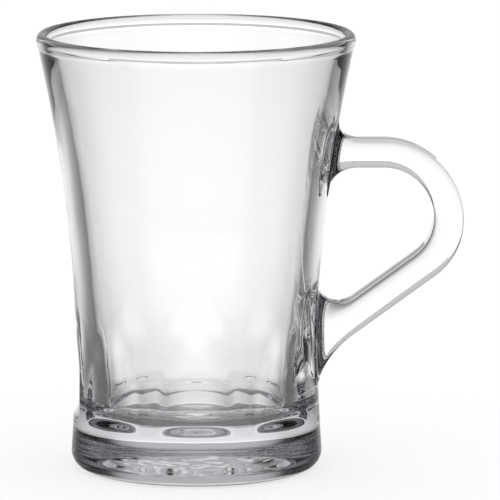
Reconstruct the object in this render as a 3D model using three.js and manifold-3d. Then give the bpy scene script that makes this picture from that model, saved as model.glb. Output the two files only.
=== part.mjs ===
// Handled drinking glass: a pressed glass bowl with seven flats around its lower wall,
// and a glass handle that is welded to the bowl at an upper and a lower root.
// Millimetres, +Z up. The origin is the middle of the bounding box on the standing plane,
// and the handle points along +X.

import * as THREE from 'three';
import * as BufferGeometryUtils from 'three/addons/utils/BufferGeometryUtils.js';
import Module from 'manifold-3d';

const wasm = await Module();
wasm.setup();

// Outside of the bowl
const BOWL_HEIGHT = 120;
const LIP_RADIUS = 43.7;
const LIP_THICKNESS = 3.4;
const LIP_BEAD_HEIGHT = 4.8;
const LIP_BEAD_BLEND = 2.6;
const LIP_OVERHANG = 0.8;
const WAIST_RADIUS = 33.3;
const WAIST_HEIGHT = 38;
const FOOT_RADIUS = 34.4;
const HEEL_RADIUS = 4.6;
const STANDING_RING_WIDTH = 11.6;
const RECESS_DEPTH = 1.6;
const RECESS_SLOPE_WIDTH = 2.8;

// Inside of the bowl: the dished floor, thinnest in its middle, and the wall's thickness at five
// heights. The lower wall's is measured at the floor's corner, in from the waist.
const FLOOR_THICKNESS = 12.3;
const FLOOR_DISH_RADIUS = 100;
const FLOOR_CORNER_RADIUS = 6;
const LOWER_WALL = 6.8;
const MIDDLE_WALL = 5.1;
const MIDDLE_WALL_HEIGHT = 54;
const UPPER_WALL = 4.8;
const UPPER_WALL_HEIGHT = 88;
const NECK_WALL = 4.2;
const NECK_WALL_HEIGHT = 102;
const UNDER_LIP_WALL = 3.2;

// Flats around the lower wall: a slope inwards and an upright face, down to the foot's shoulder
const FLAT_TOP_HEIGHT = 41;
const FLAT_FACE_TOP_HEIGHT = 29.5;
const FLAT_INSET = 1.2;
const FLAT_BEND_LENGTH = 3;
const SHOULDER_HEIGHT = 14;

// Side view of the handle: an upper bend, a lower bend and a straight arm down to the bowl
const HANDLE_REACH = 73.1;
const HANDLE_TOP_HEIGHT = 90.7;
const HANDLE_TOP_THICKNESS = 7.4;
const HANDLE_SIDE_THICKNESS = 8.2;
const HANDLE_ARM_THICKNESS = 7.9;
const UPPER_BEND_RADIUS = 22;
const LOWER_BEND_RADIUS = 19;
const INNER_BEND_RADIUS = 13.8;
const UPPER_ROOT_TOP_FILLET = 5;
const UPPER_ROOT_GAP_FILLET = 8;
const LOWER_ROOT_GAP_FILLET = 6;
const LOWER_ROOT_TAIL_SINK = 1;

// Section of the handle, and the fillets that spread its roots over the wall
const HANDLE_WIDTH = 11.5;
const HANDLE_EDGE_RADIUS = 1.2;
const ROOT_SIDE_FILLET = 3;
const ROOT_EDGE_RADIUS = 3.6;
const ROOT_OVERRUN = 2;

// Fits and cuts
const WELD_GAP = 0.3;
const CUT_OVERRUN = 2;

// Angles, shares and counts
const ARM_ANGLE = THREE.MathUtils.degToRad(36);
const SHOULDER_ANGLE = THREE.MathUtils.degToRad(22);
const LIP_END_ANGLE = THREE.MathUtils.degToRad(190);
const LOWER_ROOT_TAIL_SHARE = 0.45;
const ROOT_EDGE_SHARE = 0.7;
const FLARE_POWER = 1.74;
const FOOT_POWER = 2;
const FLAT_PITCHES = 8;
const ROUND_SEGMENTS = 80;
const FOOT_STEPS = 5;
const WALL_STEPS = 10;
const HEEL_STEPS = 4;
const LIP_BLEND_STEPS = 3;
const LIP_STEPS = 6;
const INNER_WALL_STEPS = 12;
const FLOOR_CORNER_STEPS = 5;
const FLOOR_DISH_STEPS = 3;
const FLAT_BEND_STEPS = 3;
const EDGE_STEPS = 3;
const ROOT_STEPS = 8;
const STRAIGHT_STEPS = 2;
const UPPER_BEND_STEPS = 8;
const LOWER_BEND_STEPS = 5;

const clearGlass = new THREE.MeshStandardMaterial({
  name: 'clear_glass',
  color: new THREE.Color(0.93, 0.96, 0.95),
  roughness: 0.03,
  metalness: 0,
  transparent: true,
  opacity: 0.35,
});

// Heights where the parts of the bowl's outline meet
const lipBaseHeight = BOWL_HEIGHT - LIP_BEAD_HEIGHT;
const lipMiddleHeight = lipBaseHeight + LIP_BEAD_BLEND;

// The floor's corner touches the inner wall and the dish, whose middle is on the axis
const floorCornerRun = WAIST_RADIUS - LOWER_WALL - FLOOR_CORNER_RADIUS;
const floorDishRun = FLOOR_DISH_RADIUS - FLOOR_CORNER_RADIUS;
const floorDishTurn = Math.asin(floorCornerRun / floorDishRun);
const floorDishMiddle = FLOOR_THICKNESS + FLOOR_DISH_RADIUS;
const floorCornerTop = floorDishMiddle - floorDishRun * Math.cos(floorDishTurn);

// Outer radius at a height: the foot spreads below the waist, and the wall flares above it
function outerRadius(height) {
  if (height < WAIST_HEIGHT) {
    const down = (WAIST_HEIGHT - height) / (WAIST_HEIGHT - HEEL_RADIUS);
    return WAIST_RADIUS + (FOOT_RADIUS - WAIST_RADIUS) * down ** FOOT_POWER;
  }
  const up = (height - WAIST_HEIGHT) / (lipBaseHeight - WAIST_HEIGHT);
  const flare = LIP_RADIUS - LIP_OVERHANG - WAIST_RADIUS;
  return WAIST_RADIUS + flare * up ** FLARE_POWER;
}

// Points (radius, height) of the outer wall between two heights
function outerWall(from, to, steps) {
  const points = [];
  for (let i = 0; i <= steps; i++) {
    const height = from + ((to - from) * i) / steps;
    points.push(new THREE.Vector2(outerRadius(height), height));
  }
  return points;
}

// A quarter turn or any other arc of a circle or an ellipse, as points
function arc(x, y, xRadius, yRadius, startAngle, endAngle, steps) {
  const clockwise = endAngle < startAngle;
  const curve = new THREE.EllipseCurve(x, y, xRadius, yRadius, startAngle, endAngle, clockwise);
  return curve.getPoints(steps);
}

function heel() {
  const centre = FOOT_RADIUS - HEEL_RADIUS;
  return arc(centre, HEEL_RADIUS, HEEL_RADIUS, HEEL_RADIUS, -Math.PI / 2, 0, HEEL_STEPS);
}

// Under the lip the wall swells smoothly by the lip's overhang
function lipBlend() {
  const points = [];
  for (let i = 0; i <= LIP_BLEND_STEPS; i++) {
    const share = i / LIP_BLEND_STEPS;
    const radius = outerRadius(lipBaseHeight) + LIP_OVERHANG * THREE.MathUtils.smoothstep(share, 0, 1);
    points.push(new THREE.Vector2(radius, lipBaseHeight + LIP_BEAD_BLEND * share));
  }
  return points;
}

// The fire-polished lip: an upright half ellipse over the wall
function lip() {
  const halfWidth = LIP_THICKNESS / 2;
  const height = BOWL_HEIGHT - lipMiddleHeight;
  const centre = LIP_RADIUS - halfWidth;
  return arc(centre, lipMiddleHeight, halfWidth, height, 0, LIP_END_ANGLE, LIP_STEPS);
}

// The inner wall, from under the lip down to the rounded corner of the floor
function innerWall() {
  const stations = [
    [lipBaseHeight, UNDER_LIP_WALL],
    [NECK_WALL_HEIGHT, NECK_WALL],
    [UPPER_WALL_HEIGHT, UPPER_WALL],
    [MIDDLE_WALL_HEIGHT, MIDDLE_WALL],
  ];
  const points = stations.map(([height, wall]) => new THREE.Vector2(outerRadius(height) - wall, height));
  points.push(new THREE.Vector2(WAIST_RADIUS - LOWER_WALL, floorCornerTop));
  return new THREE.SplineCurve(points).getPoints(INNER_WALL_STEPS);
}

// The rounded corner of the floor, down to where it meets the dish
function floorCorner() {
  const radius = FLOOR_CORNER_RADIUS;
  const end = floorDishTurn - Math.PI / 2;
  return arc(floorCornerRun, floorCornerTop, radius, radius, 0, end, FLOOR_CORNER_STEPS);
}

// The dish of the floor, a shallow bowl in to the axis
function floorDish() {
  const radius = FLOOR_DISH_RADIUS;
  const start = floorDishTurn - Math.PI / 2;
  const points = arc(0, floorDishMiddle, radius, radius, start, -Math.PI / 2, FLOOR_DISH_STEPS);
  return [...points.slice(0, -1), new THREE.Vector2(0, FLOOR_THICKNESS)];
}

// Removes a point that repeats the one before it, where two parts of an outline meet
function joined(...parts) {
  const points = parts.flat();
  return points.filter((point, i) => i === 0 || !point.equals(points[i - 1]));
}

function bowlOutline() {
  const ringOuter = FOOT_RADIUS - HEEL_RADIUS;
  const ringInner = ringOuter - STANDING_RING_WIDTH;
  return joined(
    [new THREE.Vector2(0, RECESS_DEPTH)],
    [new THREE.Vector2(ringInner - RECESS_SLOPE_WIDTH, RECESS_DEPTH)],
    [new THREE.Vector2(ringInner, 0)],
    heel(),
    outerWall(HEEL_RADIUS, WAIST_HEIGHT, FOOT_STEPS).slice(1),
    outerWall(WAIST_HEIGHT, lipBaseHeight, WALL_STEPS).slice(1),
    lipBlend().slice(1),
    lip().slice(1),
    innerWall(),
    floorCorner().slice(1),
    floorDish().slice(1),
  );
}

// Turns an outline (radius, height) about +Z
function turned(outline) {
  return new THREE.LatheGeometry(outline, ROUND_SEGMENTS).rotateX(Math.PI / 2);
}

function toSolid(geometry) {
  const bare = geometry.clone();
  bare.deleteAttribute('normal');
  bare.deleteAttribute('uv');
  const merged = BufferGeometryUtils.mergeVertices(bare);
  const mesh = new wasm.Mesh({
    numProp: 3,
    vertProperties: new Float32Array(merged.attributes.position.array),
    triVerts: new Uint32Array(merged.index.array),
  });
  return new wasm.Manifold(mesh);
}

function toGeometry(solid) {
  const { vertProperties, triVerts } = solid.getMesh();
  const geometry = new THREE.BufferGeometry();
  geometry.setAttribute('position', new THREE.BufferAttribute(vertProperties, 3));
  geometry.setIndex(new THREE.BufferAttribute(triVerts, 1));
  geometry.computeVertexNormals();
  return geometry;
}

// Draws a line towards a bend, and rounds the bend on the way to the next point
function bendTo(shape, start, bend, next) {
  const before = start.clone().sub(bend).setLength(FLAT_BEND_LENGTH).add(bend);
  const after = next.clone().sub(bend).setLength(FLAT_BEND_LENGTH).add(bend);
  shape.lineTo(before.x, before.y);
  shape.quadraticCurveTo(bend.x, bend.y, after.x, after.y);
}

// What one flat takes off the wall, for a flat that faces +X
function flatCutter() {
  const faceRadius = WAIST_RADIUS - FLAT_INSET;
  const top = new THREE.Vector2(outerRadius(FLAT_TOP_HEIGHT), FLAT_TOP_HEIGHT);
  const faceTop = new THREE.Vector2(faceRadius, FLAT_FACE_TOP_HEIGHT);
  const faceBase = new THREE.Vector2(faceRadius, SHOULDER_HEIGHT - CUT_OVERRUN);
  const outside = FOOT_RADIUS + CUT_OVERRUN;

  const side = new THREE.Shape();
  side.moveTo(top.x, top.y);
  bendTo(side, top, faceTop, faceBase);
  side.lineTo(faceBase.x, faceBase.y);
  side.lineTo(outside, faceBase.y);
  side.lineTo(outside, top.y);
  side.closePath();

  const width = FOOT_RADIUS * 2;
  const options = { depth: width, curveSegments: FLAT_BEND_STEPS, bevelEnabled: false };
  const geometry = new THREE.ExtrudeGeometry(side, options);
  return geometry.rotateX(Math.PI / 2).translate(0, width / 2, 0);
}

// The foot's round shoulder, which the flats leave standing: a cone that meets the wall at the
// shoulder's height, runs on below it, and narrows above it until it is inside the flats
function shoulderForm() {
  const slope = Math.tan(SHOULDER_ANGLE);
  const edge = outerRadius(SHOULDER_HEIGHT);
  const height = (edge - WAIST_RADIUS + FLAT_INSET + CUT_OVERRUN) / slope;
  const base = SHOULDER_HEIGHT - CUT_OVERRUN * 2;
  return turned([
    new THREE.Vector2(0, base),
    new THREE.Vector2(edge + CUT_OVERRUN * 2 * slope, base),
    new THREE.Vector2(edge - height * slope, SHOULDER_HEIGHT + height),
    new THREE.Vector2(0, SHOULDER_HEIGHT + height),
  ]);
}

// The bowl has a flat at each pitch but the one under the handle
function makeBowl() {
  const shoulder = toSolid(shoulderForm());
  let solid = toSolid(turned(bowlOutline()));
  for (let i = 1; i < FLAT_PITCHES; i++) {
    const cutter = flatCutter().rotateZ((i / FLAT_PITCHES) * Math.PI * 2);
    solid = solid.subtract(toSolid(cutter).subtract(shoulder));
  }
  return toGeometry(solid);
}

// The handle's two side outlines, as matching lists of curves from the upper root to the lower root.
// The arm's direction is fixed by its angle, and outward is square to it, away from the gap.
function handleCurves() {
  const outward = new THREE.Vector2(Math.sin(ARM_ANGLE), -Math.cos(ARM_ANGLE));
  const tangentAngle = outward.angle() - Math.PI * 2;
  const at = (x, y) => new THREE.Vector2(x, y);
  const ring = (centre, radius, start, end) =>
    new THREE.EllipseCurve(centre.x, centre.y, radius, radius, start, end, end < start);
  const line = (start, end) => new THREE.LineCurve(start, end);
  const onArm = (x, level) => at(x, (outward.x * x - level) / -outward.y);
  const pushed = (point, distance) => point.clone().addScaledVector(outward, distance);

  // Outer outline: the arm's level is its distance from the axis, measured along outward.
  // The tail under the arm is as long as its share of the height where the arm meets the wall.
  const upperBend = at(HANDLE_REACH - UPPER_BEND_RADIUS, HANDLE_TOP_HEIGHT - UPPER_BEND_RADIUS);
  const lowerBend = at(HANDLE_REACH - LOWER_BEND_RADIUS, upperBend.y);
  const armOuterLevel = outward.dot(lowerBend) + LOWER_BEND_RADIUS;
  const topFilletHeight = HANDLE_TOP_HEIGHT + UPPER_ROOT_TOP_FILLET;
  const topFillet = at(outerRadius(topFilletHeight) + UPPER_ROOT_TOP_FILLET, topFilletHeight);
  const tailWall = WAIST_RADIUS - LOWER_ROOT_TAIL_SINK;
  const armFoot = onArm(tailWall, armOuterLevel);
  const tailTurn = Math.PI / 2 - ARM_ANGLE;
  const tailRadius = (armFoot.y * LOWER_ROOT_TAIL_SHARE) / Math.tan(tailTurn / 2);
  const tail = onArm(tailWall + tailRadius, armOuterLevel + tailRadius);
  const outer = [
    ring(topFillet, UPPER_ROOT_TOP_FILLET, Math.PI, Math.PI * 1.5),
    line(at(topFillet.x, HANDLE_TOP_HEIGHT), at(upperBend.x, HANDLE_TOP_HEIGHT)),
    ring(upperBend, UPPER_BEND_RADIUS, Math.PI / 2, 0),
    ring(lowerBend, LOWER_BEND_RADIUS, 0, tangentAngle),
    line(pushed(lowerBend, LOWER_BEND_RADIUS), pushed(tail, -tailRadius)),
    ring(tail, tailRadius, tangentAngle + Math.PI, Math.PI),
  ];

  // Inner outline, around the gap for the fingers
  const gapTop = HANDLE_TOP_HEIGHT - HANDLE_TOP_THICKNESS;
  const gapSide = HANDLE_REACH - HANDLE_SIDE_THICKNESS;
  const innerUpperBend = at(gapSide - INNER_BEND_RADIUS, gapTop - INNER_BEND_RADIUS);
  const armInnerLevel = armOuterLevel - HANDLE_ARM_THICKNESS;
  const sideLevel = outward.dot(at(gapSide, innerUpperBend.y));
  const innerLowerRadius = (armInnerLevel - sideLevel) / (1 - outward.x);
  const innerLowerBend = at(gapSide - innerLowerRadius, innerUpperBend.y);
  const gapFilletHeight = gapTop - UPPER_ROOT_GAP_FILLET;
  const gapFillet = at(outerRadius(gapFilletHeight) + UPPER_ROOT_GAP_FILLET, gapFilletHeight);
  const armFilletX = WAIST_RADIUS + LOWER_ROOT_GAP_FILLET;
  const armFillet = onArm(armFilletX, armInnerLevel - LOWER_ROOT_GAP_FILLET);
  const inner = [
    ring(gapFillet, UPPER_ROOT_GAP_FILLET, Math.PI, Math.PI / 2),
    line(at(gapFillet.x, gapTop), at(innerUpperBend.x, gapTop)),
    ring(innerUpperBend, INNER_BEND_RADIUS, Math.PI / 2, 0),
    ring(innerLowerBend, innerLowerRadius, 0, tangentAngle),
    line(pushed(innerLowerBend, innerLowerRadius), pushed(armFillet, LOWER_ROOT_GAP_FILLET)),
    ring(armFillet, LOWER_ROOT_GAP_FILLET, tangentAngle, -Math.PI),
  ];
  return { outer, inner };
}

// Points of one outline, each with its flare: how far it is off the straight edge that the root
// at its end leaves. One more point at each end runs on into the wall.
function sampled(curves) {
  const steps = [
    ROOT_STEPS, STRAIGHT_STEPS, UPPER_BEND_STEPS, LOWER_BEND_STEPS, STRAIGHT_STEPS, ROOT_STEPS,
  ];
  const offEdge = (point, curve, end) =>
    Math.abs(curve.getTangent(end).cross(point.clone().sub(curve.getPoint(end))));
  const points = curves.flatMap((curve, i) => {
    const last = curves.length - 1;
    return curve.getPoints(steps[i]).slice(i === 0 ? 0 : 1).map((point) => {
      const flare = i === 0 ? offEdge(point, curve, 1) : i === last ? offEdge(point, curve, 0) : 0;
      return { point, flare };
    });
  });
  const into = ({ point, flare }) => ({ point: point.clone().setX(point.x - ROOT_OVERRUN), flare });
  return [into(points[0]), ...points, into(points.at(-1))];
}

// Matching points of the two outlines
function handleStations() {
  const { outer, inner } = handleCurves();
  const innerPoints = sampled(inner);
  return sampled(outer).map((place, i) => ({ outer: place, inner: innerPoints[i] }));
}

// Rounded rectangle of the handle, as places (across its thickness, across its width). Where a
// root flares, its edges take the flare, so that the side face keeps the handle's height.
function handleSection(thickness, outerFlare, innerFlare) {
  const corners = [[1, 1], [-1, 1], [-1, -1], [1, -1]];
  return corners.flatMap(([i, j], corner) => {
    const flare = i > 0 ? outerFlare : innerFlare;
    const edge = HANDLE_EDGE_RADIUS + flare;
    const deep = Math.min(HANDLE_EDGE_RADIUS + flare * ROOT_EDGE_SHARE, ROOT_EDGE_RADIUS);
    const start = (corner * Math.PI) / 2;
    const end = start + Math.PI / 2;
    const x = (thickness / 2 - edge) * i;
    const y = (HANDLE_WIDTH / 2 - deep) * j;
    return arc(x, y, edge, deep, start, end, EDGE_STEPS);
  });
}

// How far the root's side fillet spreads at a distance from the wall
function sideSpread(distance) {
  const left = THREE.MathUtils.clamp(ROOT_SIDE_FILLET - distance, 0, ROOT_SIDE_FILLET);
  return ROOT_SIDE_FILLET - Math.sqrt(ROOT_SIDE_FILLET ** 2 - left ** 2);
}

// One ring of the handle between an outer and an inner point
function handleRing({ outer, inner }) {
  const across = outer.point.clone().sub(inner.point);
  const thickness = across.length();
  across.normalize();
  const middle = outer.point.clone().add(inner.point).divideScalar(2);
  return handleSection(thickness, outer.flare, inner.flare).map(({ x, y }) => {
    const place = middle.clone().addScaledVector(across, x);
    const wallDistance = Math.hypot(place.x, y) - outerRadius(place.y);
    const spread = Math.sign(y) * sideSpread(wallDistance);
    return new THREE.Vector3(place.x, y + spread, place.y);
  });
}

// Skins rings of equally many points into a closed body
function loft(rings) {
  const count = rings[0].length;
  const positions = rings.flat().flatMap((point) => point.toArray());
  const index = [];
  for (let i = 0; i + 1 < rings.length; i++) {
    for (let j = 0; j < count; j++) {
      const a = i * count + j;
      const b = i * count + ((j + 1) % count);
      index.push(a, a + count, b, b, a + count, b + count);
    }
  }
  const last = (rings.length - 1) * count;
  for (let j = 1; j + 1 < count; j++) {
    index.push(0, j, j + 1, last, last + j + 1, last + j);
  }
  const geometry = new THREE.BufferGeometry();
  geometry.setAttribute('position', new THREE.Float32BufferAttribute(positions, 3));
  geometry.setIndex(index);
  return geometry;
}

// The bowl's outer form, grown by the weld gap, which trims the handle's roots
function wallForm() {
  const wall = outerWall(0, lipBaseHeight, FOOT_STEPS + WALL_STEPS);
  const grown = wall.map((point) => new THREE.Vector2(point.x + WELD_GAP, point.y));
  return turned([new THREE.Vector2(0, 0), ...grown, new THREE.Vector2(0, lipBaseHeight)]);
}

function makeHandle() {
  const body = toSolid(loft(handleStations().map(handleRing)));
  return toGeometry(body.subtract(toSolid(wallForm())));
}

function named(name, geometry) {
  const mesh = new THREE.Mesh(geometry, clearGlass);
  mesh.name = name;
  return mesh;
}

// The bowl's axis stands back from the origin, so that the whole mug is centred on it
const mug = new THREE.Group();
mug.add(named('bowl', makeBowl()), named('handle', makeHandle()));
mug.position.x = (LIP_RADIUS - HANDLE_REACH) / 2;

const part = new THREE.Group();
part.add(mug);
export default part;
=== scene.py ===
"""Looks of the handled drinking glass: one body of pressed glass, welded from bowl and handle.

The sizes below are millimetres, measured from the bowl's own axis. The finished mesh is scaled
to metres and moved to the bowl's place in the frame.
"""

import math

import bmesh
import bpy
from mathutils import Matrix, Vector, noise


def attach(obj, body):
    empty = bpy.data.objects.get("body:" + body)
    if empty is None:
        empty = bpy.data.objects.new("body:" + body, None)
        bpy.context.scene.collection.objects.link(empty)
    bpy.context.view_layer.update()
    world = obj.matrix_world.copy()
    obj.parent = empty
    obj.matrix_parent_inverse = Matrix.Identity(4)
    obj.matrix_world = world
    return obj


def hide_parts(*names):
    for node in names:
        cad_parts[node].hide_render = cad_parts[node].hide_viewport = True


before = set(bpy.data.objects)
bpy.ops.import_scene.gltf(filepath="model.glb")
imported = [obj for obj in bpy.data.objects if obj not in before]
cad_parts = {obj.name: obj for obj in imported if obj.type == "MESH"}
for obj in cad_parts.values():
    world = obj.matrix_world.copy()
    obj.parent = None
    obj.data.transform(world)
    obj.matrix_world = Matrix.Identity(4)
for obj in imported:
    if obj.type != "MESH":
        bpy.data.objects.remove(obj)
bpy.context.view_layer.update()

MM = 0.001

# Outside of the bowl
BOWL_HEIGHT = 120.0
LIP_RADIUS = 43.7
LIP_THICKNESS = 3.4
LIP_BEAD_HEIGHT = 4.8
LIP_BEAD_BLEND = 2.6
LIP_OVERHANG = 0.8
WAIST_RADIUS = 33.3
WAIST_HEIGHT = 38.0
FOOT_RADIUS = 34.4
HEEL_RADIUS = 4.6
STANDING_RING_WIDTH = 11.6
RECESS_DEPTH = 1.6
RECESS_SLOPE_WIDTH = 2.8

# Ripples that the plunger leaves in the recess, in three sizes: (wavelength, height)
RECESS_RIPPLES = ((7.0, 1.3), (3.0, 0.7), (1.5, 0.15))
RECESS_RIPPLE_FADE = 2.0
RING_END_GAP = 0.4

# Inside of the bowl: the dished floor, and the wall's thickness at heights from the lip down
FLOOR_THICKNESS = 12.3
FLOOR_DISH_RADIUS = 100.0
FLOOR_CORNER_RADIUS = 6.0
FLOOR_CORNER_TOP = 23.0
LIP_BASE_HEIGHT = BOWL_HEIGHT - LIP_BEAD_HEIGHT
WALL_STATIONS = ((FLOOR_CORNER_TOP, 7.0), (54.0, 5.1), (88.0, 4.8), (LIP_BASE_HEIGHT, 3.2))

# Flats around the lower wall: a slope inwards and an upright face, which ends on the foot's
# round shoulder
FLAT_PITCHES = 8
FLAT_TOP_HEIGHT = 41.0
FLAT_FACE_TOP_HEIGHT = 29.5
FLAT_INSET = 1.2
FLAT_SOFTNESS = 0.35
SHOULDER_LOW = 14.2
SHOULDER_HIGH = 17.2
FLAT_ZONE_ABOVE = 5
FLAT_ZONE_DEPTH = 2

# Side view of the handle
HANDLE_REACH = 73.1
HANDLE_TOP_HEIGHT = 90.7
HANDLE_TOP_THICKNESS = 7.4
HANDLE_SIDE_THICKNESS = 8.2
HANDLE_ARM_THICKNESS = 7.9
UPPER_BEND_RADIUS = 22.0
LOWER_BEND_RADIUS = 19.0
INNER_BEND_RADIUS = 13.8
UPPER_ROOT_TOP_FILLET = 5.0
UPPER_ROOT_GAP_FILLET = 8.0
LOWER_ROOT_GAP_FILLET = 6.0
LOWER_ROOT_TAIL_SINK = 1.0
LOWER_ROOT_TAIL_SHARE = 0.45
ARM_ANGLE = math.radians(36)

# Section of the handle, and how its roots spread over the wall
HANDLE_WIDTH = 11.5
HANDLE_CROWN = 0.3
HANDLE_CROWN_FROM = 1
HANDLE_EDGE_RADIUS = 1.2
ROOT_SIDE_FILLET = 3.0
ROOT_EDGE_SHARE = 0.7
ROOT_EDGE_MOST = 3.6
ROOT_SINK = 0.15
ROOT_OVERRUN = 2.0

# Studio, as the glass sees it: levels by degrees from behind the mug, and by degrees up from
# the table
WALL_AROUND = ((0, 1.0), (20, 1.0), (27, 0.75), (34, 0.1), (42, 0.0), (72, 0.0), (78, 0.5),
               (105, 0.5), (118, 0.05), (150, 0.8), (180, 0.8))
WALL_UP = ((0, 0.75), (17, 0.75), (28, 0.6), (48, 0.5), (90, 0.5))
TOP_UP = ((0, 0.0), (46, 0.0), (56, 1.0), (90, 1.0))

# Table, as the glass sees it: painted light and shade, by degrees from behind the mug, and by
# metres from the bowl's axis, behind and beside the mug and then in front of it. The table has
# painted light behind the mug and under its foot, a painted shadow round the foot, and painted
# shade beside and in front of it.
TABLE_PAINTED_LIGHT_AROUND = ((0, 1.0), (12, 1.0), (24, 0.82), (36, 0.5), (50, 0.3), (65, 0.22), (95, 0.16),
                (180, 0.16))
TABLE_PAINTED_LIGHT_AND_SHADOW_AWAY = ((0.0, 1.0), (0.028, 1.0), (0.036, 0.85), (0.055, 0.78), (0.08, 0.7), (0.2, 0.85),
              (1.0, 0.85))
# Painted light on the table in front of the mug, from about 0.06 to 0.1 m out and beyond
TABLE_FRONT_PAINTED_LIGHT_AROUND = ((0, 0.0), (110, 0.0), (140, 0.8), (180, 0.8))
TABLE_FRONT_PAINTED_LIGHT_AWAY = ((0.0, 0.0), (0.06, 0.0), (0.1, 1.0), (1.0, 1.0))
TABLE_GLOSS_IOR = 1.5

# Table and room, as everything else sees them
ROOM_LEVEL = 0.9
TABLE_GLOW = 0.66
TABLE_COLOUR = (0.5, 0.5, 0.5, 1)
TABLE_HALF_WIDTH = 4

# How far the table lies under the standing ring: two surfaces in one plane would flicker
TABLE_GAP = 0.05

# Clear glass, and the grey that it takes on where it is thick
GLASS_IOR = 1.52
GLASS_COLOUR = (0.998, 0.996, 1.0, 1)
DEPTH_COLOUR = (0.05, 0.0, 0.12, 1)
DEPTH_DENSITY = 4.5

# Surface of the glass: patterns in turns per metre, and the waves' depth in metres
WAVE_SCALE = 65.0
WAVE_DEPTH = 0.00007
WAVE_DETAIL = 1.0
POLISH_SCALE = 110.0
POLISH_DETAIL = 2.0
POLISH_RANGE = (0.45, 0.7)
DULLEST = 0.02

# Powers of the wall's curve, angles of the lip's arc, and counts of steps
FLARE_POWER = 1.74
FOOT_POWER = 2
LIP_START_ANGLE = math.radians(-15)
LIP_END_ANGLE = math.radians(200)
ROUND_STEPS = 352
FOOT_STEPS = 76
WALL_STEPS = 36
INNER_STEPS = 30
ARC_STEPS = 12
CORNER_STEPS = 5
SIDE_STEPS = 7
LINE_STEPS = 4
RECESS_STEPS = 24

# Height up to which the wall's rings lie close together, and how near two points may lie
FINE_HEIGHT = WAIST_HEIGHT + 5
SAME_POINT = 0.01
SAME_RING_POINT = 0.0005
THIN_EDGE = 0.005

# Camera: 1.6 m from the bowl and a little above it, as for the photograph
CAMERA_BACK = -1.5792
CAMERA_HEIGHT = 0.3173
CAMERA_TARGET = (0, 0, 0.0599)
CAMERA_LENS = 420.5
CAMERA_SENSOR = 36
CAMERA_NEAR = 0.1
CAMERA_FAR = 20

# How often light may bend or bounce, which the thick foot needs
MOST_BOUNCES = 32
MOST_GLOSSY = 24

# The whole mug is centred on the frame's origin, so the bowl's axis stands back from it
AXIS_X = (LIP_RADIUS - HANDLE_REACH) / 2 * MM


def smooth_step(share):
    share = min(max(share, 0.0), 1.0)
    return share * share * (3 - 2 * share)


def outer_radius(height):
    """The foot spreads below the waist, and the wall flares above it."""
    if height < WAIST_HEIGHT:
        down = (WAIST_HEIGHT - height) / (WAIST_HEIGHT - HEEL_RADIUS)
        return WAIST_RADIUS + (FOOT_RADIUS - WAIST_RADIUS) * down**FOOT_POWER
    up = (height - WAIST_HEIGHT) / (LIP_BASE_HEIGHT - WAIST_HEIGHT)
    return WAIST_RADIUS + (LIP_RADIUS - LIP_OVERHANG - WAIST_RADIUS) * up**FLARE_POWER


def wall_thickness(height):
    """The cubic through the four stations."""
    total = 0
    for station, wall in WALL_STATIONS:
        others = [z for z, _ in WALL_STATIONS if z != station]
        total += wall * math.prod((height - z) / (station - z) for z in others)
    return total


def arc(x, z, x_radius, z_radius, start, end, steps):
    turns = [start + (end - start) * i / steps for i in range(steps + 1)]
    return [(x + x_radius * math.cos(a), z + z_radius * math.sin(a)) for a in turns]


def between(start, end, steps):
    return [start + (end - start) * i / steps for i in range(steps + 1)]


def joined(*parts):
    """One outline from several, without the points that repeat where they meet."""
    points = [parts[0][0]]
    for x, z in (point for part in parts for point in part):
        if math.hypot(x - points[-1][0], z - points[-1][1]) > SAME_POINT:
            points.append((x, z))
    return points


def inner_radius(height):
    return outer_radius(height) - wall_thickness(height)


def carried_on(radius_at, end):
    """The wall's curve, carried on from the lip's base to a point of the lip."""
    off = end[0] - radius_at(end[1])
    return [
        (radius_at(z) + off * smooth_step((z - LIP_BASE_HEIGHT) / (end[1] - LIP_BASE_HEIGHT)), z)
        for z in between(LIP_BASE_HEIGHT, end[1], ARC_STEPS)
    ]


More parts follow.
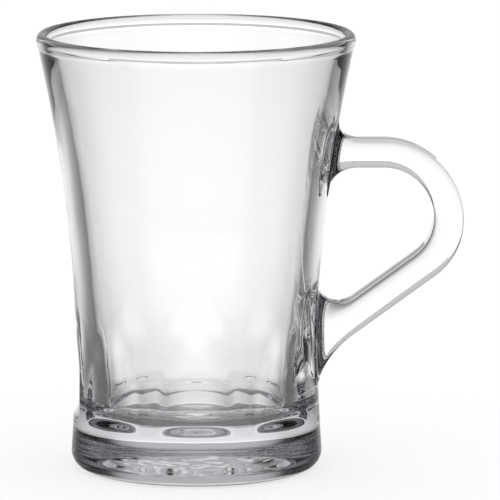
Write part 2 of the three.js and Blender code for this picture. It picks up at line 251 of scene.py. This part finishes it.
def bowl_outline():
    ring_outer = FOOT_RADIUS - HEEL_RADIUS
    ring_inner = ring_outer - STANDING_RING_WIDTH
    recess = ring_inner - RECESS_SLOPE_WIDTH
    half_lip = LIP_THICKNESS / 2
    bead_z = LIP_BASE_HEIGHT + LIP_BEAD_BLEND
    lip = arc(LIP_RADIUS - half_lip, bead_z, half_lip, BOWL_HEIGHT - bead_z,
              LIP_START_ANGLE, LIP_END_ANGLE, ARC_STEPS * 2)
    floor_corner = inner_radius(FLOOR_CORNER_TOP) - FLOOR_CORNER_RADIUS
    dish_turn = math.asin(floor_corner / (FLOOR_DISH_RADIUS - FLOOR_CORNER_RADIUS))
    drop = (FLOOR_DISH_RADIUS - FLOOR_CORNER_RADIUS) * math.cos(dish_turn)
    corner_z = FLOOR_THICKNESS + FLOOR_DISH_RADIUS - drop
    slope = [
        (ring_inner - RECESS_SLOPE_WIDTH * s, RECESS_DEPTH * smooth_step(s))
        for s in between(1, 0, ARC_STEPS)
    ]
    return joined(
        [(radius, RECESS_DEPTH) for radius in between(0, recess, RECESS_STEPS)],
        slope,
        [(ring_inner + RING_END_GAP, 0), (ring_outer - RING_END_GAP, 0)],
        arc(ring_outer, HEEL_RADIUS, HEEL_RADIUS, HEEL_RADIUS, -math.pi / 2, 0, ARC_STEPS),
        [(outer_radius(z), z) for z in between(HEEL_RADIUS, FINE_HEIGHT, FOOT_STEPS)],
        [(outer_radius(z), z) for z in between(FINE_HEIGHT, LIP_BASE_HEIGHT, WALL_STEPS)],
        carried_on(outer_radius, lip[0]),
        lip,
        carried_on(inner_radius, lip[-1])[::-1],
        [(inner_radius(z), z) for z in between(LIP_BASE_HEIGHT, FLOOR_CORNER_TOP, INNER_STEPS)],
        arc(floor_corner, corner_z, FLOOR_CORNER_RADIUS, FLOOR_CORNER_RADIUS,
            0, dish_turn - math.pi / 2, ARC_STEPS),
        arc(0, FLOOR_THICKNESS + FLOOR_DISH_RADIUS, FLOOR_DISH_RADIUS, FLOOR_DISH_RADIUS,
            dish_turn - math.pi / 2, -math.pi / 2, ARC_STEPS),
    )


def soft_least(a, b, softness):
    """The smaller of two values, with a rounded change from one to the other."""
    near = max(softness - abs(a - b), 0) / softness
    return min(a, b) - near * near * softness / 4


def flat_distance(height):
    """How far a flat lies from the bowl's axis: an upright face, then a slope out to the wall."""
    face = WAIST_RADIUS - FLAT_INSET
    top = outer_radius(FLAT_TOP_HEIGHT)
    above = (height - FLAT_FACE_TOP_HEIGHT) / (FLAT_TOP_HEIGHT - FLAT_FACE_TOP_HEIGHT)
    return -soft_least(-face, -face - (top - face) * above, FLAT_SOFTNESS)


def flatten(bm):
    """Presses the flats into the outer wall, all but the one under the handle."""
    pitch = math.tau / FLAT_PITCHES
    for vert in bm.verts:
        x, y, z = vert.co
        radius = math.hypot(x, y)
        if z < SHOULDER_LOW or z > FLAT_TOP_HEIGHT + FLAT_ZONE_ABOVE:
            continue
        if radius < outer_radius(z) - FLAT_ZONE_DEPTH:
            continue
        turn = round(math.atan2(y, x) / pitch) % FLAT_PITCHES
        if turn == 0:
            continue
        off = math.atan2(y, x) - turn * pitch
        reach = flat_distance(z) / math.cos(off)
        depth = radius - soft_least(radius, reach, FLAT_SOFTNESS)
        above = smooth_step((z - SHOULDER_LOW) / (SHOULDER_HIGH - SHOULDER_LOW))
        pressed = radius - depth * above
        vert.co.x *= pressed / radius
        vert.co.y *= pressed / radius


def ripple(bm):
    """Leaves the plunger's soft ripples in the recess under the foot."""
    edge = FOOT_RADIUS - HEEL_RADIUS - STANDING_RING_WIDTH - RECESS_SLOPE_WIDTH
    for vert in bm.verts:
        radius = math.hypot(vert.co.x, vert.co.y)
        if vert.co.z > RECESS_DEPTH + SAME_RING_POINT or radius > edge:
            continue
        height = sum(size * noise.noise(vert.co / wave) for wave, size in RECESS_RIPPLES)
        vert.co.z += height * smooth_step((edge - radius) / RECESS_RIPPLE_FADE)


def turned_bowl():
    bm = bmesh.new()
    verts = [bm.verts.new((radius, 0, height)) for radius, height in bowl_outline()]
    edges = [bm.edges.new(pair) for pair in zip(verts, verts[1:])]
    bmesh.ops.spin(bm, geom=verts + edges, cent=(0, 0, 0), axis=(0, 0, 1),
                   angle=math.tau, steps=ROUND_STEPS, use_merge=True)
    bmesh.ops.remove_doubles(bm, verts=bm.verts, dist=SAME_RING_POINT)
    flatten(bm)
    ripple(bm)
    bmesh.ops.recalc_face_normals(bm, faces=bm.faces)
    return bm


def handle_outlines():
    """The handle's outer and inner side outlines, point for point, from the upper root down."""
    out = Vector((math.sin(ARM_ANGLE), -math.cos(ARM_ANGLE)))
    arm_turn = math.atan2(out.y, out.x)

    def ring(centre, radius, start, end, steps=ARC_STEPS):
        return arc(centre[0], centre[1], radius, radius, start, end, steps)

    def on_arm(x, level):
        return Vector((x, (out.x * x - level) / -out.y))

    def line(start, end, steps):
        return [tuple(Vector(start).lerp(Vector(end), i / steps)) for i in range(steps + 1)]

    upper = Vector((HANDLE_REACH - UPPER_BEND_RADIUS, HANDLE_TOP_HEIGHT - UPPER_BEND_RADIUS))
    lower = Vector((HANDLE_REACH - LOWER_BEND_RADIUS, upper.y))
    arm_outer = out.dot(lower) + LOWER_BEND_RADIUS
    top_z = HANDLE_TOP_HEIGHT + UPPER_ROOT_TOP_FILLET
    top = Vector((outer_radius(top_z) + UPPER_ROOT_TOP_FILLET - ROOT_SINK, top_z))
    tail_wall = WAIST_RADIUS - LOWER_ROOT_TAIL_SINK
    tail_length = on_arm(tail_wall, arm_outer).y * LOWER_ROOT_TAIL_SHARE
    tail_radius = tail_length / math.tan((math.pi / 2 - ARM_ANGLE) / 2)
    tail = on_arm(tail_wall + tail_radius, arm_outer + tail_radius)
    outer = [
        ring(top, UPPER_ROOT_TOP_FILLET, math.pi, math.pi * 1.5),
        line((top.x, HANDLE_TOP_HEIGHT), (upper.x, HANDLE_TOP_HEIGHT), LINE_STEPS),
        ring(upper, UPPER_BEND_RADIUS, math.pi / 2, 0, ARC_STEPS * 2),
        ring(lower, LOWER_BEND_RADIUS, 0, arm_turn),
        line(lower + out * LOWER_BEND_RADIUS, tail - out * tail_radius, LINE_STEPS),
        ring(tail, tail_radius, arm_turn + math.pi, math.pi, ARC_STEPS * 2),
    ]

    gap_top = HANDLE_TOP_HEIGHT - HANDLE_TOP_THICKNESS
    gap_side = HANDLE_REACH - HANDLE_SIDE_THICKNESS
    bend = Vector((gap_side - INNER_BEND_RADIUS, gap_top - INNER_BEND_RADIUS))
    arm_inner = arm_outer - HANDLE_ARM_THICKNESS
    side_level = out.dot(Vector((gap_side, bend.y)))
    low_radius = (arm_inner - side_level) / (1 - out.x)
    low_bend = Vector((gap_side - low_radius, bend.y))
    gap_z = gap_top - UPPER_ROOT_GAP_FILLET
    gap = Vector((outer_radius(gap_z) + UPPER_ROOT_GAP_FILLET - ROOT_SINK, gap_z))
    foot = on_arm(WAIST_RADIUS + LOWER_ROOT_GAP_FILLET - ROOT_SINK,
                  arm_inner - LOWER_ROOT_GAP_FILLET)
    inner = [
        ring(gap, UPPER_ROOT_GAP_FILLET, math.pi, math.pi / 2),
        line((gap.x, gap_top), (bend.x, gap_top), LINE_STEPS),
        ring(bend, INNER_BEND_RADIUS, math.pi / 2, 0, ARC_STEPS * 2),
        ring(low_bend, low_radius, 0, arm_turn),
        line(low_bend + out * low_radius, foot + out * LOWER_ROOT_GAP_FILLET, LINE_STEPS),
        ring(foot, LOWER_ROOT_GAP_FILLET, arm_turn, -math.pi, ARC_STEPS * 2),
    ]

    def run(parts):
        points = [Vector(parts[0][0])] + [Vector(place) for part in parts for place in part[1:]]
        first, last = [Vector((p.x - ROOT_OVERRUN, p.y)) for p in (points[0], points[-1])]
        return [first] + points + [last]

    outers, inners = run(outer), run(inner)
    half = len(outers) // 2
    flares = []
    for number, (a, b) in enumerate(zip(outers, inners)):
        if number < half:
            at_root = b.x < gap.x
            outer_flare = a.y - HANDLE_TOP_HEIGHT
            inner_flare = gap_top - b.y if at_root else 0
        else:
            at_root = b.y < lower.y and b.x < foot.x + LOWER_ROOT_GAP_FILLET
            outer_flare = out.dot(a) - arm_outer
            inner_flare = arm_inner - out.dot(b) if at_root else 0
        flares.append((max(outer_flare, 0), max(inner_flare, 0)))
    return [(a, b, *flare) for a, b, flare in zip(outers, inners, flares)]


def handle_section(thickness, outer_flare, inner_flare):
    """Rounded rectangle, as places (across the thickness, across the width).

    Where a root flares, its edges take the flare, so the side face keeps its height.
    """
    corners = []
    for number, (i, j) in enumerate(((1, 1), (-1, 1), (-1, -1), (1, -1))):
        flare = outer_flare if i > 0 else inner_flare
        edge = HANDLE_EDGE_RADIUS + flare
        deep = min(HANDLE_EDGE_RADIUS + flare * ROOT_EDGE_SHARE, ROOT_EDGE_MOST)
        start = number * math.pi / 2
        corners.append(arc((thickness / 2 - edge) * i, (HANDLE_WIDTH / 2 - deep) * j, edge, deep,
                           start, start + math.pi / 2, CORNER_STEPS))
    places = []
    for corner, after in zip(corners, corners[1:] + corners[:1]):
        a, b = Vector(corner[-1]), Vector(after[0])
        places += [Vector(p) for p in corner]
        places += [a.lerp(b, i / SIDE_STEPS) for i in range(1, SIDE_STEPS)]
    for place in places:
        share = min(abs(place.x) / (thickness / 2), 1)
        if abs(place.y) > HANDLE_CROWN_FROM:
            place.y -= math.copysign(HANDLE_CROWN * share**2, place.y)
    return places


def side_spread(distance):
    """How far the root's side fillet spreads at a distance from the wall."""
    left = min(max(ROOT_SIDE_FILLET - distance - ROOT_SINK, 0), ROOT_SIDE_FILLET)
    return ROOT_SIDE_FILLET - math.sqrt(ROOT_SIDE_FILLET**2 - left**2)


def lofted_handle():
    bm = bmesh.new()
    rings = []
    for outer, inner, outer_flare, inner_flare in handle_outlines():
        across = outer - inner
        middle = (outer + inner) / 2
        places = handle_section(across.length, outer_flare, inner_flare)
        across.normalize()
        made = bmesh.ops.create_circle(bm, cap_ends=False, segments=len(places), radius=1)
        ring = made["verts"]
        for vert, place in zip(ring, places):
            spot = middle + across * place.x
            distance = math.hypot(spot.x, place.y) - outer_radius(spot.y)
            spread = math.copysign(side_spread(distance), place.y)
            vert.co = (spot.x, place.y + spread, spot.y)
        rings.append(ring)
    loops = [list(dict.fromkeys(e for v in ring for e in v.link_edges)) for ring in rings]
    for loop, after in zip(loops, loops[1:]):
        bmesh.ops.bridge_loops(bm, edges=loop + after)
    for ring in (rings[0], rings[-1]):
        bm.faces.new(ring)
    bmesh.ops.recalc_face_normals(bm, faces=bm.faces)
    return bm


def to_object(bm, name):
    mesh = bpy.data.meshes.new(name)
    bm.to_mesh(mesh)
    bm.free()
    thing = bpy.data.objects.new(name, mesh)
    bpy.context.scene.collection.objects.link(thing)
    return thing


def weld(body, branch):
    """The two pieces as one body of glass, with no wall left between them."""
    union = body.modifiers.new("weld", "BOOLEAN")
    union.operation = "UNION"
    union.solver = "EXACT"
    union.object = branch
    graph = bpy.context.evaluated_depsgraph_get()
    mesh = bpy.data.meshes.new_from_object(body.evaluated_get(graph))
    body.modifiers.clear()
    body.data = mesh
    bpy.data.objects.remove(branch)


def finish_glass(thing):
    bm = bmesh.new()
    bm.from_mesh(thing.data)
    bmesh.ops.remove_doubles(bm, verts=bm.verts, dist=SAME_POINT)
    bmesh.ops.dissolve_degenerate(bm, edges=bm.edges, dist=THIN_EDGE)
    bmesh.ops.scale(bm, vec=(MM, MM, MM), verts=bm.verts)
    bmesh.ops.translate(bm, vec=(AXIS_X, 0, 0), verts=bm.verts)
    for face in bm.faces:
        face.smooth = True
    bm.to_mesh(thing.data)
    bm.free()


def link(tree, start, end):
    tree.links.new(start, end)


def node(tree, kind, **values):
    made = tree.nodes.new(kind)
    for key, value in values.items():
        setattr(made, key, value)
    return made


def maths(tree, operation, a, b=None, clamp=False):
    made = node(tree, "ShaderNodeMath", operation=operation, use_clamp=clamp)
    for socket, value in zip(made.inputs, (a, b)):
        if value is None:
            continue
        if isinstance(value, (int, float)):
            socket.default_value = value
        else:
            link(tree, value, socket)
    return made.outputs[0]


def ramp(tree, value, low, high, to_low, to_high):
    """Smooth change from to_low to to_high as value goes from low to high."""
    made = node(tree, "ShaderNodeMapRange", interpolation_type="SMOOTHSTEP")
    for socket, number in zip(list(made.inputs)[1:5], (low, high, to_low, to_high)):
        socket.default_value = number
    link(tree, value, made.inputs[0])
    return made.outputs[0]


def grain(tree, scale, detail):
    """Noise in the object's own space, with its pattern centred on the bowl's axis."""
    place = node(tree, "ShaderNodeTexCoord").outputs["Object"]
    centred = node(tree, "ShaderNodeMapping")
    centred.inputs["Location"].default_value = (-AXIS_X, 0, 0)
    link(tree, place, centred.inputs[0])
    cloudy = node(tree, "ShaderNodeTexNoise")
    cloudy.inputs["Scale"].default_value = scale
    cloudy.inputs["Detail"].default_value = detail
    link(tree, centred.outputs[0], cloudy.inputs["Vector"])
    return cloudy.outputs[0]


def pressed_glass():
    """Clear glass, a little wavy from the mould, and fire-polished with a few duller patches."""
    material = bpy.data.materials.new("clear_pressed_glass")
    material.use_nodes = True
    tree = material.node_tree
    shader = tree.nodes["Principled BSDF"]
    shader.inputs["IOR"].default_value = GLASS_IOR
    shader.inputs["Transmission Weight"].default_value = 1.0
    shader.inputs["Base Color"].default_value = GLASS_COLOUR
    polish = ramp(tree, grain(tree, POLISH_SCALE, POLISH_DETAIL), *POLISH_RANGE, 0.0, DULLEST)
    link(tree, polish, shader.inputs["Roughness"])
    waves = node(tree, "ShaderNodeBump")
    waves.inputs["Strength"].default_value = 1.0
    waves.inputs["Distance"].default_value = WAVE_DEPTH
    link(tree, grain(tree, WAVE_SCALE, WAVE_DETAIL), waves.inputs["Height"])
    link(tree, waves.outputs[0], shader.inputs["Normal"])
    depth = node(tree, "ShaderNodeVolumeAbsorption")
    depth.inputs["Color"].default_value = DEPTH_COLOUR
    depth.inputs["Density"].default_value = DEPTH_DENSITY
    link(tree, depth.outputs[0], tree.nodes["Material Output"].inputs["Volume"])
    return material


def graded(tree, value, stops):
    """Levels along a value from 0 to 1, given as (place, level), straight between the stops."""
    made = node(tree, "ShaderNodeValToRGB")
    scale = made.color_ramp
    while len(scale.elements) < len(stops):
        scale.elements.new(0.5)
    for element, (place, level) in zip(scale.elements, stops):
        element.position = place
        element.color = (level, level, level, 1)
    link(tree, value, made.inputs[0])
    return made.outputs[0]


def around(tree, x, y, stops):
    """Levels by the direction (x, y), given as (degrees from behind the mug, level)."""
    turn = maths(tree, "DIVIDE", maths(tree, "ABSOLUTE", maths(tree, "ARCTAN2", x, y)), math.pi)
    return graded(tree, turn, [(place / 180, level) for place, level in stops])


def set_world():
    """A bright wall behind the mug, dark gaps beside it, and a dimmer room all round."""
    world = bpy.data.worlds.new("studio")
    bpy.context.scene.world = world
    world.use_nodes = True
    tree = world.node_tree
    tree.nodes.clear()
    direction = node(tree, "ShaderNodeTexCoord").outputs["Generated"]
    parts = node(tree, "ShaderNodeSeparateXYZ")
    link(tree, direction, parts.inputs[0])
    x, y, z = parts.outputs

    def up(stops):
        return graded(tree, z, [(math.sin(math.radians(place)), level) for place, level in stops])

    wall = maths(tree, "MULTIPLY", around(tree, x, y, WALL_AROUND), up(WALL_UP))
    seen = maths(tree, "MAXIMUM", wall, up(TOP_UP))
    paths = node(tree, "ShaderNodeLightPath")
    sharp = maths(tree, "MAXIMUM", paths.outputs["Is Glossy Ray"],
                  paths.outputs["Is Transmission Ray"])
    pattern = maths(tree, "MULTIPLY", seen, sharp)
    plain = maths(tree, "SUBTRACT", 1.0, sharp)
    level = maths(tree, "ADD", pattern, maths(tree, "MULTIPLY", plain, ROOM_LEVEL))
    level = maths(tree, "MAXIMUM", level, paths.outputs["Is Camera Ray"])
    background = node(tree, "ShaderNodeBackground")
    link(tree, level, background.inputs["Strength"])
    output = node(tree, "ShaderNodeOutputWorld")
    link(tree, background.outputs[0], output.inputs["Surface"])


def floor_material():
    material = bpy.data.materials.new("pale_floor")
    material.use_nodes = True
    tree = material.node_tree
    tree.nodes.clear()
    place = node(tree, "ShaderNodeTexCoord").outputs["Object"]
    parts = node(tree, "ShaderNodeSeparateXYZ")
    link(tree, place, parts.inputs[0])
    x = maths(tree, "SUBTRACT", parts.outputs[0], AXIS_X)
    y = parts.outputs[1]
    squares = maths(tree, "ADD", maths(tree, "MULTIPLY", x, x), maths(tree, "MULTIPLY", y, y))
    away = maths(tree, "SQRT", squares)
    # Painted light and shade on the table, for glass and reflections only: brightest behind the
    # mug and under its foot, a painted shadow round the foot, painted shade beside it, and
    # painted light further in front
    behind = maths(tree, "MULTIPLY", graded(tree, away, TABLE_PAINTED_LIGHT_AND_SHADOW_AWAY),
                   around(tree, x, y, TABLE_PAINTED_LIGHT_AROUND))
    painted_light_ahead = maths(tree, "MULTIPLY", graded(tree, away, TABLE_FRONT_PAINTED_LIGHT_AWAY),
                  around(tree, x, y, TABLE_FRONT_PAINTED_LIGHT_AROUND))
    seen = maths(tree, "MAXIMUM", behind, painted_light_ahead)
    paths = node(tree, "ShaderNodeLightPath")
    camera = paths.outputs["Is Camera Ray"]
    glow = node(tree, "ShaderNodeEmission")
    glow.inputs["Strength"].default_value = TABLE_GLOW
    white = node(tree, "ShaderNodeBsdfDiffuse")
    white.inputs["Color"].default_value = TABLE_COLOUR
    plain = node(tree, "ShaderNodeAddShader")
    link(tree, glow.outputs[0], plain.inputs[0])
    link(tree, white.outputs[0], plain.inputs[1])
    # This glow, seen through the glass and in the table's mirror, carries the painted light and
    # shade
    painted_table_light = node(tree, "ShaderNodeEmission")
    link(tree, seen, painted_table_light.inputs["Strength"])
    mirror = node(tree, "ShaderNodeBsdfGlossy")
    mirror.inputs["Roughness"].default_value = 0.0
    gloss = node(tree, "ShaderNodeFresnel")
    gloss.inputs["IOR"].default_value = TABLE_GLOSS_IOR
    link(tree, gloss.outputs[0], mirror.inputs["Color"])
    through = node(tree, "ShaderNodeAddShader")
    link(tree, painted_table_light.outputs[0], through.inputs[0])
    link(tree, mirror.outputs[0], through.inputs[1])
    mix = node(tree, "ShaderNodeMixShader")
    link(tree, camera, mix.inputs[0])
    link(tree, through.outputs[0], mix.inputs[1])
    link(tree, plain.outputs[0], mix.inputs[2])
    output = node(tree, "ShaderNodeOutputMaterial")
    link(tree, mix.outputs[0], output.inputs["Surface"])
    return material


def add_floor():
    bm = bmesh.new()
    bmesh.ops.create_grid(bm, x_segments=1, y_segments=1, size=TABLE_HALF_WIDTH)
    bmesh.ops.translate(bm, vec=(0, 0, -TABLE_GAP * MM), verts=bm.verts)
    floor = to_object(bm, "floor")
    floor.data.materials.append(floor_material())


def add_camera():
    data = bpy.data.cameras.new("camera")
    camera = bpy.data.objects.new("camera", data)
    bpy.context.scene.collection.objects.link(camera)
    bpy.context.scene.camera = camera
    data.sensor_width = CAMERA_SENSOR
    data.lens = CAMERA_LENS
    data.clip_start = CAMERA_NEAR
    data.clip_end = CAMERA_FAR
    target = Vector(CAMERA_TARGET)
    camera.location = (AXIS_X, CAMERA_BACK, CAMERA_HEIGHT)
    camera.rotation_mode = "QUATERNION"
    camera.rotation_quaternion = (target - camera.location).to_track_quat("-Z", "Y")


add_camera()
bpy.context.scene.view_settings.view_transform = "Standard"
bpy.context.scene.cycles.max_bounces = MOST_BOUNCES
bpy.context.scene.cycles.glossy_bounces = MOST_GLOSSY
bpy.context.scene.cycles.transmission_bounces = MOST_BOUNCES
set_world()
add_floor()

glass = to_object(turned_bowl(), "pressed_glass_body")
handle = to_object(lofted_handle(), "handle_loft")
weld(glass, handle)
finish_glass(glass)
glass.data.materials.clear()
glass.data.materials.append(pressed_glass())
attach(glass, "root")
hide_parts("bowl", "handle")
